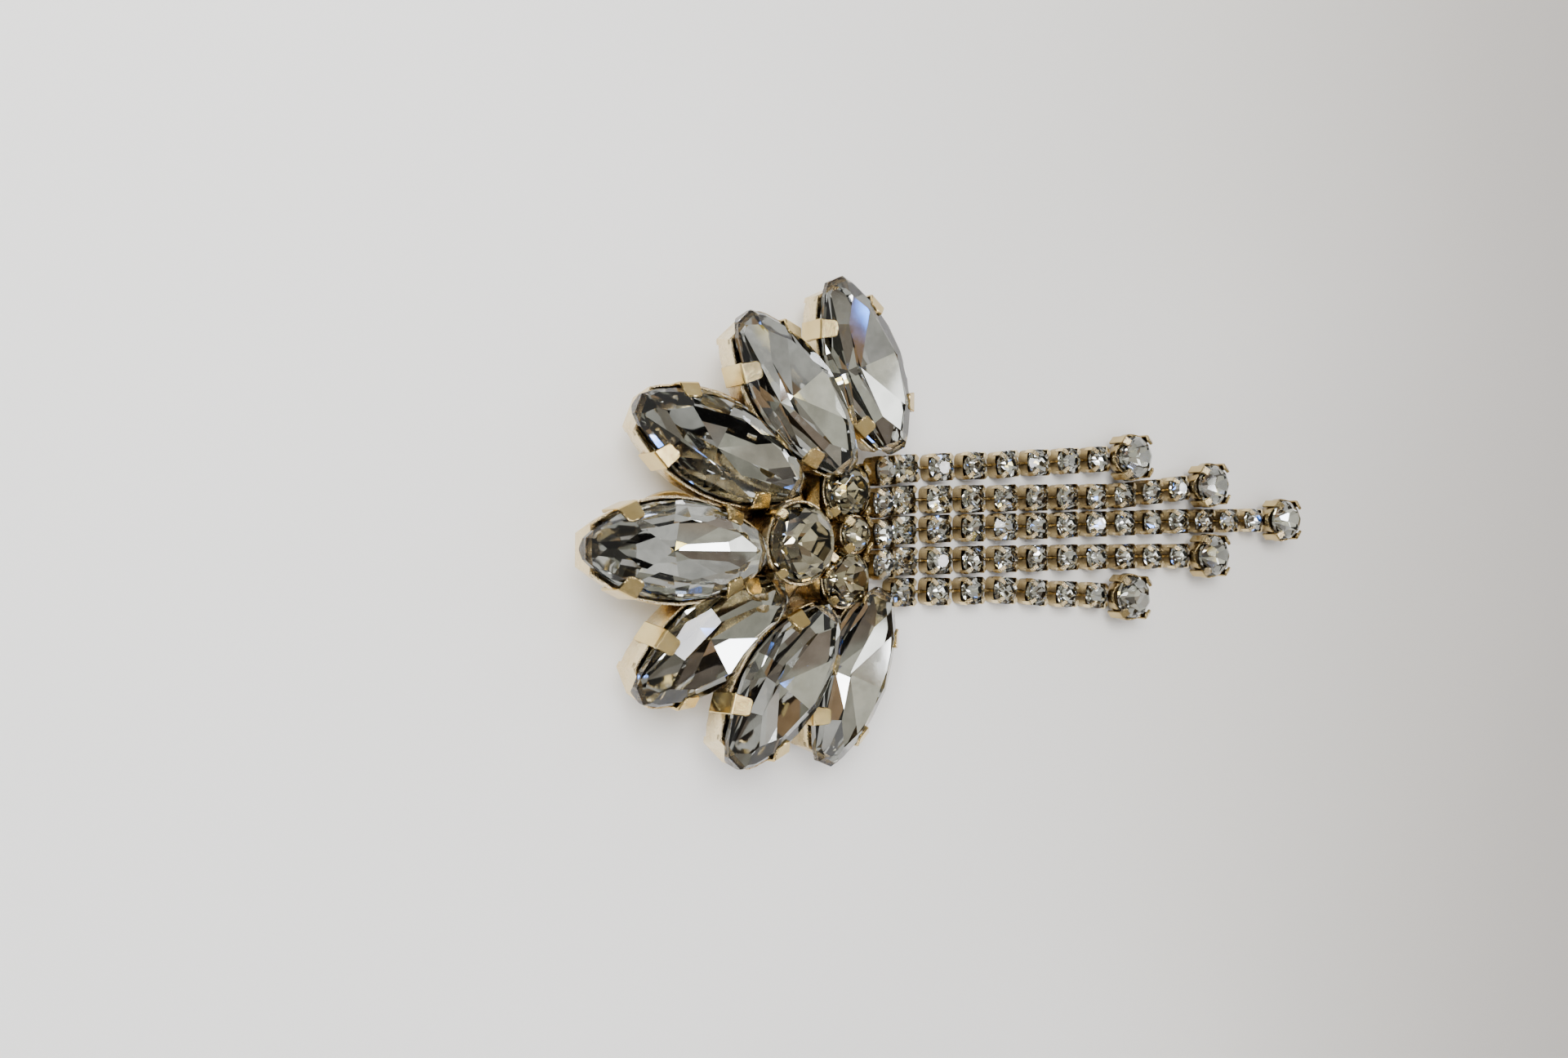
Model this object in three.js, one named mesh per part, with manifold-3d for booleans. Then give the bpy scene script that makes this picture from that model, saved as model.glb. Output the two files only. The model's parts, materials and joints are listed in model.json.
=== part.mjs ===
// Chandelier earring: a fan of seven navette stones in gold-plated settings, a cluster of
// round stones at its hub, and five cup chains of small stones that each end in a larger
// round stone. It lies on its back, as it does on a table, on a closed ear clip.
// Millimetres and degrees. X runs from the fan to the chain ends, Y across, Z up.
import * as THREE from 'three';
import { mergeVertices } from 'three/addons/utils/BufferGeometryUtils.js';
import Module from 'manifold-3d';

const wasm = await Module();
wasm.setup();

// Fit of stones and settings
const clearance = 0.15;
const settingWall = 0.35;

// Navette stones of the fan
const navetteLength = 15;
const navetteWidth = 7.1;
const navetteGirdle = 0.5;
const navetteCrown = 1.4;
const navettePavilion = 2.2;
const navetteTableShare = 0.6;
const navetteSideFacets = 6;

// Round stones of the hub
const hubStoneDiameter = 5.9;
const shoulderStoneDiameter = 4.4;
const rootStoneDiameter = 2.6;
const roundFacets = 10;
const roundGirdle = 0.35;
const roundCrownShare = 0.22;
const roundPavilionShare = 0.36;
const roundTableShare = 0.58;

// Cup chains and their end stones
const chainPitch = 3.76;
const chainCupWidth = 2.32;
const chainCupHeight = 1.5;
const chainCupCorner = 0.15;
const chainStoneDiameter = 2.05;
const chainCrown = 0.7;
const chainTableShare = 0.6;
const chainLinkWidth = 0.9;
const chainLinkHeight = 0.5;
const chainProngSize = 0.36;
const chainProngRise = 0.5;
const endStoneDiameter = 4;
const endSettingHeight = 2.4;
const endGap = 0.3;

// Settings, prongs and plates of the fan
const cupDepth = 2.95;
const cupFootShare = 0.92;
const roundCupFootShare = 0.78;
const prongWidth = 1.7;
const prongReach = 0.95;
const roundProngWidth = 1.1;
const roundProngReach = 0.6;
const prongThickness = 0.4;
const backPlateThickness = 0.6;
const backPlateLength = 15;
const backPlateWidth = 14;
const rootBarLength = 18;
const rootBarWidth = 1.8;
const hubPlateLength = 9.4;
const hubPlateWidth = 12;
const hubPlateDrop = 0.5;

// How the earring lies: the fan leans on the closed clip, its outer end raised
const fanTilt = 7;
const hubHeight = 5.1;
const fanSetback = 0.3;

// Ear clip, closed
const clipLength = 13;
const clipWidth = 5;
const clipLeaf = 0.6;
const clipPaddle = 0.8;
const clipPadDiameter = 8;

// Navettes of the fan, a row each. bearing is the angle of the inner tip seen from the hub
// stone, ring its distance from the hub setting as a share of the navette width, heading
// the way the stone points, and raise its height as a share of the crown.
const navettes = [
  { name: 'navette_stone_1', bearing: -21.2, ring: 0.99, heading: 245.7, raise: -0.18, slope: -1.5, roll: -5.5, prongs: 'abd' },
  { name: 'navette_stone_2', bearing: -52, ring: 0.44, heading: 225.3, raise: 0.79, slope: 5, roll: -0.2, prongs: 'abcd' },
  { name: 'navette_stone_3', bearing: -85.2, ring: 0.03, heading: 207.8, raise: -0.42, slope: 0.7, roll: -10.8, prongs: 'abcd' },
  { name: 'navette_stone_4', bearing: 194.7, ring: -0.131, heading: 178.6, raise: 0.3, slope: -2.6, roll: 2, prongs: 'abcd' },
  { name: 'navette_stone_5', bearing: 77.6, ring: 0.116, heading: 157.5, raise: -0.05, slope: -5.3, roll: -0.6, prongs: 'abcd' },
  { name: 'navette_stone_6', bearing: 47.8, ring: 0.576, heading: 132.3, raise: 0.8, slope: -1.7, roll: -0.3, prongs: 'abcd' },
  { name: 'navette_stone_7', bearing: 33.8, ring: 1.36, heading: 115.9, raise: 0.1, slope: -1.1, roll: -5.1, prongs: 'abcd' },
];

// Round stones at the hub. along and across are shares of the hub stone's diameter, and
// raise is a share of it too.
const hubCenter = { x: -2.4, y: -1.05 };
const rounds = [
  { name: 'hub_stone', diameter: hubStoneDiameter, along: 0, across: 0, raise: 0.29 },
  { name: 'shoulder_stone_1', diameter: shoulderStoneDiameter, along: 0.97, across: -0.485, raise: 0 },
  { name: 'shoulder_stone_2', diameter: shoulderStoneDiameter, along: 1.0, across: 0.695, raise: 0 },
  { name: 'root_stone', diameter: rootStoneDiameter, along: 1.06, across: 0.105, raise: 0.1 },
];

// Cup chains, a row each, from the fan to the tip: number of small stones, then the few
// chosen points of the route as x, y pairs and the rise of the first cup off the table.
const chainRootRise = 1.4;
const chains = [
  { name: 'chain_1', stones: 8, rootRise: 1, route: [[7.7, 4.82], [11, 5.15], [21.8, 5.8], [33.9, 6.65]] },
  { name: 'chain_2', stones: 11, rootRise: 1, route: [[7.5, 2.18], [10.9, 2.48], [36, 3.15], [44.4, 4]] },
  { name: 'chain_3', stones: 14, rootRise: 1, route: [[7.5, -0.4], [10.9, -0.1], [44.5, 0.77], [55.7, 0.9]] },
  { name: 'chain_4', stones: 11, rootRise: 1, route: [[7.5, -2.95], [10.9, -2.75], [32.9, -2.65], [44, -2.7]] },
  { name: 'chain_5', stones: 7, rootRise: 0, route: [[10.9, -5.4], [21.8, -5.5], [29.1, -6.05], [32.4, -6.25]] },
];

const crystalLook = { color: '#e9ebee', roughness: 0.05, metalness: 0 };
const goldLook = { color: '#c8a871', roughness: 0.28, metalness: 1 };
const crystal = new THREE.MeshStandardMaterial(crystalLook);
const gold = new THREE.MeshStandardMaterial(goldLook);

// Shapes

// A ring of points on the outline of a navette: two arcs that meet in the tips.
function navetteRing(length, width, z) {
  const bow = (length * length + width * width) / (4 * width);
  const half = Math.asin(length / 2 / bow);
  const points = [];
  for (let side = 0; side < 2; side += 1) {
    const turn = side === 0 ? 1 : -1;
    for (let i = 0; i < navetteSideFacets; i += 1) {
      const angle = half - (2 * half * i) / navetteSideFacets;
      const x = bow * Math.sin(angle) * turn;
      const y = (bow * Math.cos(angle) - (bow - width / 2)) * turn;
      points.push(new THREE.Vector3(x, y, z));
    }
  }
  return points;
}

function roundRing(diameter, z, sides = roundFacets) {
  const points = [];
  for (let i = 0; i < sides; i += 1) {
    const angle = (2 * Math.PI * (i + 0.5)) / sides;
    points.push(new THREE.Vector3(Math.cos(angle) * diameter / 2, Math.sin(angle) * diameter / 2, z));
  }
  return points;
}

function ellipseRing(length, width, z, sides = 14) {
  return roundRing(1, z, sides).map((p) => new THREE.Vector3(p.x * length, p.y * width, z));
}

// A square with cut corners.
function cupRing(width, corner, z) {
  const h = width / 2;
  const c = h - corner;
  const flat = [[h, -c], [h, c], [c, h], [-c, h], [-h, c], [-h, -c], [-c, -h], [c, -h]];
  return flat.map(([x, y]) => new THREE.Vector3(x, y, z));
}

// A closed solid through flat convex rings of the same number of points, from the lowest
// ring to the highest, turning the same way. A single point closes an end to a tip.
function loft(rings) {
  const positions = [];
  const starts = [];
  for (const ring of rings) {
    starts.push(positions.length / 3);
    for (const p of ring) positions.push(p.x, p.y, p.z);
  }
  const index = [];
  for (let k = 0; k + 1 < rings.length; k += 1) {
    const low = starts[k];
    const high = starts[k + 1];
    const n = Math.max(rings[k].length, rings[k + 1].length);
    for (let i = 0; i < n; i += 1) {
      const j = (i + 1) % n;
      if (rings[k].length === 1) index.push(low, high + j, high + i);
      else if (rings[k + 1].length === 1) index.push(low + i, low + j, high);
      else index.push(low + i, low + j, high + j, low + i, high + j, high + i);
    }
  }
  const last = rings.length - 1;
  for (let i = 1; i + 1 < rings[0].length; i += 1) index.push(starts[0], starts[0] + i + 1, starts[0] + i);
  for (let i = 1; i + 1 < rings[last].length; i += 1) {
    index.push(starts[last], starts[last] + i, starts[last] + i + 1);
  }
  const geometry = new THREE.BufferGeometry();
  geometry.setAttribute('position', new THREE.Float32BufferAttribute(positions, 3));
  geometry.setIndex(index);
  return geometry;
}

function toSolid(geometry, matrix = new THREE.Matrix4()) {
  let plain = geometry.clone().applyMatrix4(matrix);
  plain.deleteAttribute('normal');
  plain.deleteAttribute('uv');
  plain = mergeVertices(plain, 1e-5);
  const vertProperties = new Float32Array(plain.attributes.position.array);
  const triVerts = new Uint32Array(plain.index.array);
  return new wasm.Manifold(new wasm.Mesh({ numProp: 3, vertProperties, triVerts }));
}

function toGeometry(solid) {
  const mesh = solid.getMesh();
  const geometry = new THREE.BufferGeometry();
  geometry.setAttribute('position', new THREE.Float32BufferAttribute(mesh.vertProperties, 3));
  geometry.setIndex(Array.from(mesh.triVerts));
  return geometry;
}

function joinAll(solids) {
  return solids.reduce((whole, solid) => whole.add(solid));
}

function addMesh(parent, name, geometry, material) {
  const flat = geometry.index ? geometry.toNonIndexed() : geometry;
  flat.computeVertexNormals();
  const mesh = new THREE.Mesh(flat, material);
  mesh.name = name;
  parent.add(mesh);
  return mesh;
}

function place(x, y, z, heading = 0, slope = 0, roll = 0) {
  const rad = THREE.MathUtils.degToRad;
  const euler = new THREE.Euler(rad(roll), -rad(slope), rad(heading), 'ZYX');
  const turn = new THREE.Quaternion().setFromEuler(euler);
  return new THREE.Matrix4().compose(new THREE.Vector3(x, y, z), turn, new THREE.Vector3(1, 1, 1));
}

// A cut stone: pavilion, girdle, crown and table. grow makes the same stone a little
// larger all round, for the seat that is cut for it.
function navetteStone(grow = 0) {
  const g = navetteGirdle / 2 + grow / 2;
  const length = navetteLength + 2 * grow;
  const width = navetteWidth + 2 * grow;
  const keel = 0.35;
  return loft([
    navetteRing(length * keel, width * keel * 0.3, -navetteGirdle / 2 - navettePavilion - grow),
    navetteRing(length, width, -g),
    navetteRing(length, width, g),
    navetteRing(length * navetteTableShare, width * navetteTableShare, navetteGirdle / 2 + navetteCrown + grow),
  ]);
}

function roundStone(diameter, grow = 0, facets = roundFacets) {
  const g = roundGirdle / 2;
  const wide = diameter + 2 * grow;
  return loft([
    [new THREE.Vector3(0, 0, -g - roundPavilionShare * diameter - grow)],
    roundRing(wide, -g - grow / 2, facets),
    roundRing(wide, g + grow / 2, facets),
    roundRing(wide * roundTableShare, g + roundCrownShare * diameter + grow, facets),
  ]);
}

// A prong: a tab that stands outside the girdle and folds in over the crown. Its side view
// lies in X (outward) and Z, and it is as wide as it is drawn out along Y.
function prong(width, reach, rise, foot) {
  const out = clearance + settingWall;
  const shape = new THREE.Shape();
  shape.moveTo(out - settingWall, -foot);
  shape.lineTo(out + 0.12, -foot);
  shape.lineTo(out + 0.12, 0.3);
  shape.lineTo(-reach, rise + prongThickness + clearance);
  shape.lineTo(-reach, rise * 0.5);
  shape.closePath();
  const tab = new THREE.ExtrudeGeometry(shape, { depth: width, bevelEnabled: false });
  tab.translate(0, 0, -width / 2);
  tab.rotateX(Math.PI / 2);
  return tab;
}

// The fan: its stones and their soldered mount

const root = new THREE.Group();
const fan = new THREE.Group();
fan.rotation.y = THREE.MathUtils.degToRad(fanTilt);
fan.position.set(-fanSetback, 0, hubHeight);
root.add(fan);

const mountParts = [];
const seats = [];
const seatGrow = clearance;
const out = clearance + settingWall;
const hubRadius = hubStoneDiameter / 2 + out;

for (const row of navettes) {
  const rad = THREE.MathUtils.degToRad;
  const reach = hubRadius + row.ring * navetteWidth;
  const tipX = hubCenter.x + Math.cos(rad(row.bearing)) * reach;
  const tipY = hubCenter.y + Math.sin(rad(row.bearing)) * reach;
  const x = tipX + Math.cos(rad(row.heading)) * navetteLength / 2;
  const y = tipY + Math.sin(rad(row.heading)) * navetteLength / 2;
  const raise = row.raise * navetteCrown;
  const matrix = place(x, y, raise, row.heading, row.slope, row.roll);
  const stone = navetteStone();
  const mesh = addMesh(fan, row.name, stone, crystal);
  mesh.applyMatrix4(matrix);

  const length = navetteLength + 2 * out;
  const width = navetteWidth + 2 * out;
  const depth = Math.max(cupDepth + raise, navetteGirdle / 2 + navettePavilion + clearance + settingWall);
  const cup = loft([
    navetteRing(length * cupFootShare, width * cupFootShare, -depth),
    navetteRing(length, width, -0.3),
    navetteRing(length, width, 0.15),
  ]);
  mountParts.push(toSolid(cup, matrix));
  seats.push(toSolid(navetteStone(seatGrow), matrix));
  const ring = navetteRing(navetteLength, navetteWidth, 0);
  const n = navetteSideFacets;
  const prongPlaces = { a: [1, 2, 0.55], b: [n - 2, n - 1, 0.45], c: [n + 1, n + 2, 0.55], d: [2 * n - 2, 2 * n - 1, 0.45] };
  for (const key of row.prongs) {
    const [from, to, share] = prongPlaces[key];
    const p = ring[from].clone().lerp(ring[to], share);
    const along = ring[to].clone().sub(ring[from]);
    const outward = Math.atan2(-along.x, along.y);
    const turned = matrix.clone().multiply(place(p.x, p.y, 0, THREE.MathUtils.radToDeg(outward)));
    const rise = navetteGirdle / 2 + prongReach;
    mountParts.push(toSolid(prong(prongWidth, prongReach, rise, 1.2), turned));
  }
}

for (const row of rounds) {
  const x = hubCenter.x + row.along * hubStoneDiameter;
  const y = hubCenter.y + row.across * hubStoneDiameter;
  const raise = row.raise * hubStoneDiameter;
  const matrix = place(x, y, raise);
  const mesh = addMesh(fan, row.name, roundStone(row.diameter), crystal);
  mesh.applyMatrix4(matrix);
  const wide = row.diameter + 2 * out;
  const cup = loft([
    roundRing(wide * roundCupFootShare, -cupDepth - raise),
    roundRing(wide, -0.2),
    roundRing(wide, 0.1),
  ]);
  mountParts.push(toSolid(cup, matrix));
  seats.push(toSolid(roundStone(row.diameter, seatGrow), matrix));
  for (let k = 0; k < 4; k += 1) {
    const angle = 45 + 90 * k;
    const turned = matrix.clone().multiply(place(0, 0, 0, angle));
    turned.multiply(place(row.diameter / 2, 0, 0));
    const rise = roundGirdle / 2 + roundProngReach;
    mountParts.push(toSolid(prong(roundProngWidth, roundProngReach, rise, 1), turned));
  }
}

const plateZ = -cupDepth;
const plate = loft([
  ellipseRing(backPlateLength, backPlateWidth, plateZ - backPlateThickness),
  ellipseRing(backPlateLength, backPlateWidth, plateZ + 0.3),
]);
mountParts.push(toSolid(plate, place(hubCenter.x + 1.4, hubCenter.y, 0)));
// The bar that ties the two end navettes to the hub, behind the roots of the chains.
const rootBar = new THREE.BoxGeometry(rootBarWidth, rootBarLength, backPlateThickness + 0.3);
const barX = hubCenter.x + 1.3 * hubStoneDiameter;
mountParts.push(toSolid(rootBar, place(barX, hubCenter.y + 1.3, plateZ + 0.15 - backPlateThickness / 2)));
const hubPlate = loft([
  ellipseRing(hubPlateLength, hubPlateWidth, plateZ),
  ellipseRing(hubPlateLength, hubPlateWidth, -hubPlateDrop),
]);
mountParts.push(toSolid(hubPlate, place(hubCenter.x - 0.8, hubCenter.y + 0.5, 0)));

const mount = joinAll(mountParts).subtract(joinAll(seats));
addMesh(fan, 'fan_mount', toGeometry(mount), gold);


// The cup chains and their end stones

function cupUnit() {
  const top = chainCupHeight;
  const corner = chainCupWidth / 2 - chainProngSize * 0.75;
  const parts = [toSolid(loft([
    cupRing(chainCupWidth, chainCupCorner, 0),
    cupRing(chainCupWidth, chainCupCorner, top),
  ]))];
  parts.push(toSolid(loft([
    roundRing(chainStoneDiameter, top - 0.1, 8),
    roundRing(chainStoneDiameter * chainTableShare, top + chainCrown, 8),
  ])));
  for (let k = 0; k < 4; k += 1) {
    const sx = k === 0 || k === 3 ? 1 : -1;
    const sy = k < 2 ? 1 : -1;
    const foot = roundRing(chainProngSize * Math.SQRT2, top - 0.1, 4);
    for (const p of foot) p.add(new THREE.Vector3(sx * corner, sy * corner, 0));
    const tip = new THREE.Vector3(sx * (corner - 0.1), sy * (corner - 0.1), top + chainProngRise);
    parts.push(toSolid(loft([foot, [tip]])));
  }
  return joinAll(parts);
}

// The point at a distance along a route of straight pieces, with its heading.
function alongRoute(route, distance) {
  let left = distance;
  for (let i = 0; i + 1 < route.length; i += 1) {
    const [x0, y0] = route[i];
    const [x1, y1] = route[i + 1];
    const length = Math.hypot(x1 - x0, y1 - y0);
    if (left <= length || i + 2 === route.length) {
      const t = left / length;
      return { x: x0 + (x1 - x0) * t, y: y0 + (y1 - y0) * t, heading: Math.atan2(y1 - y0, x1 - x0) };
    }
    left -= length;
  }
  return null;
}

const cup = cupUnit();
const deg = THREE.MathUtils.radToDeg;
for (const row of chains) {
  const parts = [];
  const rootRise = row.rootRise * chainRootRise;
  const firstStep = Math.sqrt(chainPitch * chainPitch - rootRise * rootRise);
  let before = null;
  let distance = 0;
  for (let i = 0; i < row.stones; i += 1) {
    const spot = alongRoute(row.route, distance);
    spot.z = i === 0 ? rootRise : 0;
    const slope = i === 0 ? -deg(Math.asin(rootRise / chainPitch)) * 0.8 : 0;
    const matrix = place(spot.x, spot.y, spot.z, deg(spot.heading), slope);
    parts.push(cup.transform(Array.from(matrix.elements)));
    if (!before && rootRise === 0) before = { ...alongRoute(row.route, -chainPitch * 0.8), z: 0 };
    if (before) parts.push(linkBetween(before, spot));
    before = spot;
    distance += i === 0 ? firstStep : chainPitch;
  }
  const endStep = chainCupWidth / 2 + endGap + endStoneDiameter / 2 + out;
  const end = alongRoute(row.route, distance - chainPitch + endStep);
  end.z = 0;
  parts.push(linkBetween(before, end));
  const endMatrix = place(end.x, end.y, 0, deg(end.heading));
  const stoneMatrix = place(end.x, end.y, endSettingHeight, deg(end.heading));
  const wide = endStoneDiameter + 2 * out;
  const setting = [toSolid(loft([roundRing(wide * 0.66, 0), roundRing(wide, endSettingHeight)]), endMatrix)];
  for (let k = 0; k < 4; k += 1) {
    const turned = stoneMatrix.clone().multiply(place(0, 0, 0, 45 + 90 * k));
    turned.multiply(place(endStoneDiameter / 2, 0, 0));
    const rise = roundGirdle / 2 + roundProngReach;
    setting.push(toSolid(prong(roundProngWidth * 0.8, roundProngReach, rise, 1), turned));
  }
  const seat = toSolid(roundStone(endStoneDiameter, seatGrow), stoneMatrix);
  addMesh(root, row.name, toGeometry(joinAll([...parts, ...setting]).subtract(seat)), gold);
  const stone = addMesh(root, row.name.replace('chain', 'end_stone'), roundStone(endStoneDiameter), crystal);
  stone.applyMatrix4(stoneMatrix);
}

// A flat bar from the middle of one cup to the middle of the next.
function linkBetween(a, b) {
  const rise = b.z - a.z;
  const run = Math.hypot(b.x - a.x, b.y - a.y);
  const bar = new THREE.BoxGeometry(Math.hypot(run, rise), chainLinkWidth, chainLinkHeight);
  const matrix = place((a.x + b.x) / 2, (a.y + b.y) / 2, (a.z + b.z) / 2 + chainCupHeight * 0.4,
    deg(Math.atan2(b.y - a.y, b.x - a.x)), deg(Math.atan2(rise, run)));
  return toSolid(bar, matrix);
}

// The ear clip: a leaf under the mount, a knuckle, and a paddle that rests on the table

const knuckleX = hubCenter.x + 1.2;
const tiltCos = Math.cos(THREE.MathUtils.degToRad(fanTilt));
const tiltSin = Math.sin(THREE.MathUtils.degToRad(fanTilt));
const leafTop = -cupDepth - backPlateThickness - clearance;
const leafLength = clipLength * 0.6;
const leaf = new THREE.BoxGeometry(leafLength, clipWidth, clipLeaf);
const knuckleAlong = (knuckleX + fanSetback - leafTop * tiltSin) / tiltCos;
leaf.translate(knuckleAlong - leafLength / 2, hubCenter.y, leafTop - clipLeaf / 2);
leaf.rotateY(THREE.MathUtils.degToRad(fanTilt));
leaf.translate(-fanSetback, 0, hubHeight);
const knuckleTop = hubHeight - knuckleAlong * tiltSin + leafTop * tiltCos;
const paddleLength = clipLength - clipPadDiameter / 2;
const paddle = new THREE.BoxGeometry(paddleLength, clipWidth, clipPaddle);
paddle.translate(knuckleX - paddleLength / 2, hubCenter.y, clipPaddle / 2);
const pad = loft([roundRing(clipPadDiameter, 0, 20), roundRing(clipPadDiameter, clipPaddle, 20)]);
pad.translate(knuckleX - paddleLength, hubCenter.y, 0);
const barrel = loft([roundRing(knuckleTop, -clipWidth / 2, 12), roundRing(knuckleTop, clipWidth / 2, 12)]);
barrel.rotateX(Math.PI / 2);
barrel.translate(knuckleX, hubCenter.y, knuckleTop / 2);
const clip = joinAll([toSolid(leaf), toSolid(paddle), toSolid(pad), toSolid(barrel)]);
addMesh(root, 'ear_clip', toGeometry(clip), gold);

// The origin is under the middle of the whole earring, on the table.
root.updateMatrixWorld(true);
const bounds = new THREE.Box3().setFromObject(root, true);
const middle = bounds.getCenter(new THREE.Vector3());
root.position.set(-middle.x, -middle.y, -bounds.min.z);

export default root;
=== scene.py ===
# %% [markdown]
# This script dresses a chandelier earring: a fan of seven pointed oval stones, a cluster
# of round stones at its hub, and five chains of small stones that each end in a larger one.
# The plain solids come first, as a fixed frame. Every new piece is made in millimetres,
# where a stone of 15 by 7 is easy to think about, and turned into metres at the end.

# %% Load the frame
import bmesh
import bpy
import json
import math
import random
from math import radians
from mathutils import Matrix, Vector

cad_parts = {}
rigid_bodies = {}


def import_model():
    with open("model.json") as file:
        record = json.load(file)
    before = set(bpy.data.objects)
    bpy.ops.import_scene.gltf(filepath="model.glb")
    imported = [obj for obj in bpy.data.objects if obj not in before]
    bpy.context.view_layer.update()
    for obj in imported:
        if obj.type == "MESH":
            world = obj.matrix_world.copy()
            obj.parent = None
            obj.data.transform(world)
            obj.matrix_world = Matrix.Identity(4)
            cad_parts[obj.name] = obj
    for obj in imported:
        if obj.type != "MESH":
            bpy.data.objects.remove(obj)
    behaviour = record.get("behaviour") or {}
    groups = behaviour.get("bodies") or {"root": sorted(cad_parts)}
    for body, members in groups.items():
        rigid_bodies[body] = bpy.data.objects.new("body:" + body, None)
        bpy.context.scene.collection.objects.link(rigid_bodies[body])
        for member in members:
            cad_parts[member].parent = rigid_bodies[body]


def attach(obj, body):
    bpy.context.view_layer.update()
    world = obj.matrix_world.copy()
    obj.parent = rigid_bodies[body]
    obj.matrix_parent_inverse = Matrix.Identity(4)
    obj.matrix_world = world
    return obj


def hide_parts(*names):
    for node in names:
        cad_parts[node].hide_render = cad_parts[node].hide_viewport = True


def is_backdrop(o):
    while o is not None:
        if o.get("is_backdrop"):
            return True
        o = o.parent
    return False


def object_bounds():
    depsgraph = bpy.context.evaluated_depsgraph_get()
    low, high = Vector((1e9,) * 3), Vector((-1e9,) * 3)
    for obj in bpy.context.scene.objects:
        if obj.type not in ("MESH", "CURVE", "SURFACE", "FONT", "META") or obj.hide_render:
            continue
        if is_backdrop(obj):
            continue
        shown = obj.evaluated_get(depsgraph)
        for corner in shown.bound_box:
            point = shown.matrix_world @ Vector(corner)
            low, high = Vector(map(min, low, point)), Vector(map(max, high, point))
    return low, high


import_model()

scene = bpy.context.scene
cad_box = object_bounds()
print("the solids measure", [round((high - low) * 1000, 2) for low, high in zip(*cad_box)], "mm")

# %% [markdown]
# The camera stands where the photograph was taken from: about 8 cm above the table, to the
# left of the earring, leaning 30 degrees from straight down. Its lens is wide, so the fan,
# which is nearer, looks large beside the ends of the chains.

# %% Camera
lens = bpy.data.cameras.new("photo_camera")
lens.lens = 26.0
lens.sensor_width = 36.0
lens.clip_start = 0.005
camera = bpy.data.objects.new("photo_camera", lens)
camera.location = (-0.06707, -0.000608, 0.07985)
camera.rotation_euler = (0.0, radians(-30.0), 0.0)
scene.collection.objects.link(camera)
scene.camera = camera
print("camera", round(camera.location.length * 1000), "mm from the middle of the earring")

# %% [markdown]
# A material is a small graph of nodes. Four helpers keep the graphs readable: one adds a
# node and sets its sockets, one joins two sockets, one makes a ramp of a few colours, and
# one starts a new material.

# %% Helpers for materials
def add_node(tree, kind, **values):
    """Adds a node and sets its sockets or settings by name."""
    node = tree.nodes.new(kind)
    for name, value in values.items():
        socket = node.inputs.get(name.replace("_", " "))
        if socket is not None:
            socket.default_value = value
        else:
            setattr(node, name, value)
    return node


def join(tree, start, end):
    tree.links.new(start, end)


def colour_ramp(tree, amount, stops):
    """A ramp from one colour to the next; stops are pairs of place and colour."""
    ramp = add_node(tree, "ShaderNodeValToRGB")
    ramp.color_ramp.elements[0].position = stops[0][0]
    ramp.color_ramp.elements[0].color = (*stops[0][1], 1.0)
    ramp.color_ramp.elements[1].position = stops[-1][0]
    ramp.color_ramp.elements[1].color = (*stops[-1][1], 1.0)
    for place_on_ramp, colour in stops[1:-1]:
        ramp.color_ramp.elements.new(place_on_ramp).color = (*colour, 1.0)
    join(tree, amount, ramp.inputs["Fac"])
    return ramp.outputs["Color"]


def new_material(name):
    """A material with nothing but its output, its shader and object coordinates."""
    material = bpy.data.materials.new(name)
    material.use_nodes = True
    tree = material.node_tree
    shader = tree.nodes["Principled BSDF"]
    coords = add_node(tree, "ShaderNodeTexCoord").outputs["Object"]
    return material, tree, shader, coords


# %% [markdown]
# Cut crystal shows the room, not itself. What makes it sparkle is a room with contrast, so
# the world is painted by direction. Near the horizon it is plain and pale, like a paper
# backdrop, because the low views look straight at it. Higher up a Voronoi texture breaks it
# into patches of tone, as shelves and panels do, brighter on the left than on the right. No
# camera looks that high, but the facets do, and the patches give each its own tone.

# %% Sky of the studio
PLAIN_BELOW = 26
PATCHED_ABOVE = 34
world = bpy.data.worlds.new("soft_studio")
scene.world = world
world.use_nodes = True
sky = world.node_tree
sky_direction = add_node(sky, "ShaderNodeTexCoord").outputs["Generated"]
height_split = add_node(sky, "ShaderNodeSeparateXYZ")
join(sky, sky_direction, height_split.inputs[0])
sky_colour = colour_ramp(sky, height_split.outputs["Z"], [
    (0.0, (0.80, 0.785, 0.75)),
    (0.30, (0.56, 0.55, 0.52)),
    (0.50, (0.40, 0.39, 0.36)),
    (1.0, (0.33, 0.325, 0.30)),
])
side = add_node(sky, "ShaderNodeMapRange")
join(sky, height_split.outputs["X"], side.inputs["Value"])
for socket, value in (("From Min", -0.5), ("From Max", 0.15), ("To Min", 2.3), ("To Max", 1.0)):
    side.inputs[socket].default_value = value
patches = add_node(sky, "ShaderNodeTexVoronoi", Scale=7.5)
join(sky, sky_direction, patches.inputs["Vector"])
patch_number = add_node(sky, "ShaderNodeSeparateXYZ")
join(sky, patches.outputs["Color"], patch_number.inputs[0])
patch_tone = colour_ramp(sky, patch_number.outputs["X"], [
    (0.10, (0.14, 0.125, 0.115)),
    (0.35, (0.42, 0.34, 0.29)),
    (0.60, (0.62, 0.62, 0.55)),
    (0.85, (1.0, 0.99, 0.90)),
])
broken = add_node(sky, "ShaderNodeVectorMath", operation="MULTIPLY")
join(sky, sky_colour, broken.inputs[0])
join(sky, patch_tone, broken.inputs[1])
uneven = add_node(sky, "ShaderNodeVectorMath", operation="SCALE")
join(sky, broken.outputs[0], uneven.inputs[0])
join(sky, side.outputs["Result"], uneven.inputs["Scale"])
above = add_node(sky, "ShaderNodeMapRange", interpolation_type="SMOOTHSTEP")
join(sky, height_split.outputs["Z"], above.inputs["Value"])
above.inputs["From Min"].default_value = math.sin(radians(PLAIN_BELOW))
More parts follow.
